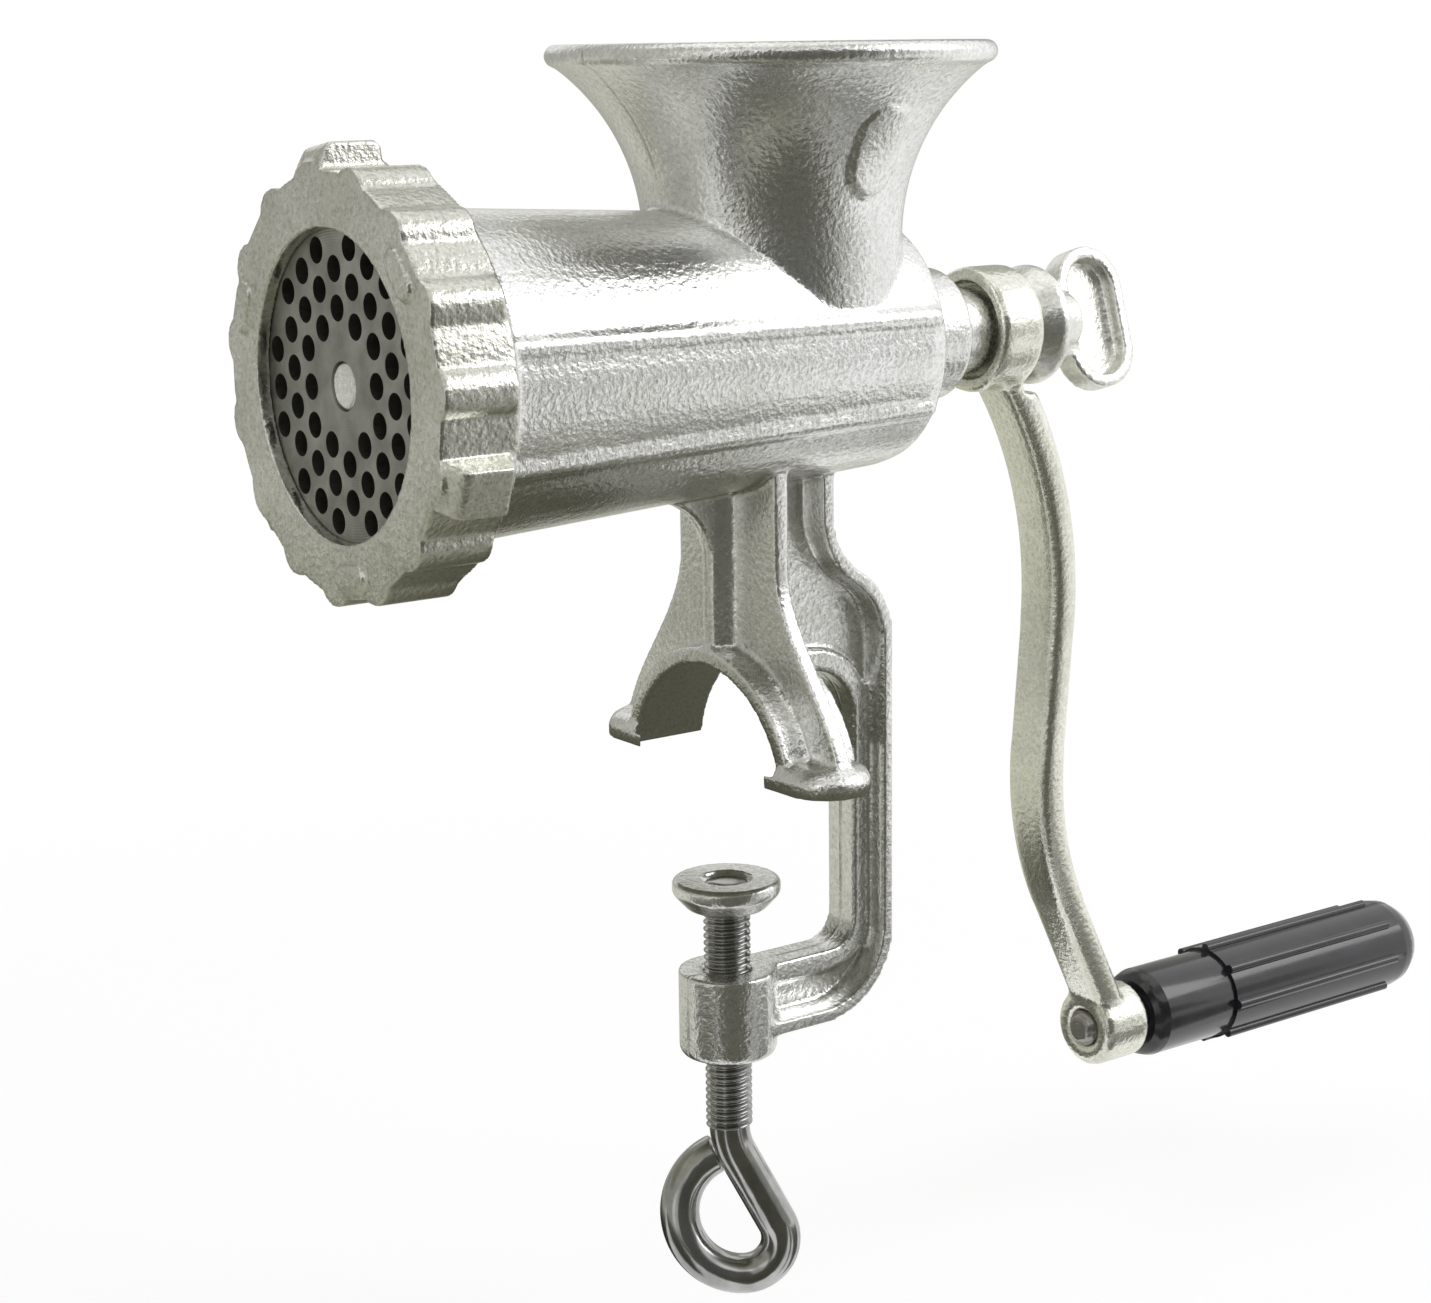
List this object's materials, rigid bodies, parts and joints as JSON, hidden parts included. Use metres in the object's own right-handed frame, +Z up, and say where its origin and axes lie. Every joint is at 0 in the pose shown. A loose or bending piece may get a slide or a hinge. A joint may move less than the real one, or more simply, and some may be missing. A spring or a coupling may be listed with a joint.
{
  "type": "manual meat grinder",
  "caption": "Hand-cranked table-clamp meat grinder with a round hopper, conical barrel, hole plate, lobed ring nut, curved crank and ridged grip.",
  "frame": {"origin": "on the clamp screw axis, at the height of the table top that the feet stand on", "axes": "+Z up along the clamp screw, -X towards the outlet plate, +X towards the crank"},
  "size_m": [0.2913, 0.0872, 0.2547],
  "materials": {
    "tinned_iron": "hot-tinned casting, satin with fine sand texture",
    "steel": "machined",
    "plate_steel": "ground face",
    "dark_steel": "polished rod",
    "bush": "moulded",
    "fibre": "pressed fibre",
    "black_plastic": "semi-gloss moulding"
  },
  "bodies": {
    "frame": {"body_casting": "tinned_iron", "plate_key_pin": "steel", "rear_bush": "bush", "thrust_washer": "fibre"},
    "worm": {"auger": "tinned_iron", "knife_stud": "steel", "knife": "steel"},
    "plate": {"grinder_plate": "plate_steel"},
    "ring": {"ring_nut": "tinned_iron"},
    "crank": {"crank_arm": "tinned_iron", "grip_pin": "dark_steel", "grip_washer": "steel"},
    "grip": {"grip_core": "black_plastic", "grip_sleeve": "black_plastic"},
    "thumb": {"thumb_screw": "tinned_iron"},
    "pad": {"clamp_pad": "tinned_iron"},
    "screw": {"clamp_screw": "dark_steel"}
  },
  "joints": [
    {"name": "crank_spin", "type": "hinge", "parent": "frame", "child": "worm", "pos_m": [0, 0, 0.082], "axis": [1, 0, 0], "continuous": true},
    {"name": "crank_pull", "type": "slide", "parent": "worm", "child": "crank", "axis": [1, 0, 0], "range_m": [0, 0.005]},
    {"name": "thumb_turn", "type": "hinge", "parent": "crank", "child": "thumb", "pos_m": [0.09, 0, 0.082], "axis": [1, 0, 0], "range_deg": [0, 1440]},
    {"name": "grip_spin", "type": "hinge", "parent": "crank", "child": "grip", "pos_m": [0.15, 0, -0.0784], "axis": [1, 0, 0], "continuous": true},
    {"name": "plate_push", "type": "slide", "parent": "frame", "child": "plate", "axis": [-1, 0, 0], "range_m": [0, 0.009]},
    {"name": "ring_turn", "type": "hinge", "parent": "plate", "child": "ring", "pos_m": [-0.0824, 0, 0.082], "axis": [-1, 0, 0], "range_deg": [0, 1080]},
    {"name": "pad_lift", "type": "slide", "parent": "frame", "child": "pad", "axis": [0, 0, 1], "range_m": [-0.012, 0.015]},
    {"name": "clamp_turn", "type": "hinge", "parent": "pad", "child": "screw", "pos_m": [0, 0, -0.05], "axis": [0, 0, 1], "range_deg": [-2880, 3600]}
  ],
  "couplings": [
    {"joint": "thumb_turn", "follows": "crank_pull", "rad_per_m": 5026.5},
    {"joint": "ring_turn", "follows": "plate_push", "rad_per_m": 2094.4},
    {"joint": "clamp_turn", "follows": "pad_lift", "rad_per_m": 4188.8}
  ]
}
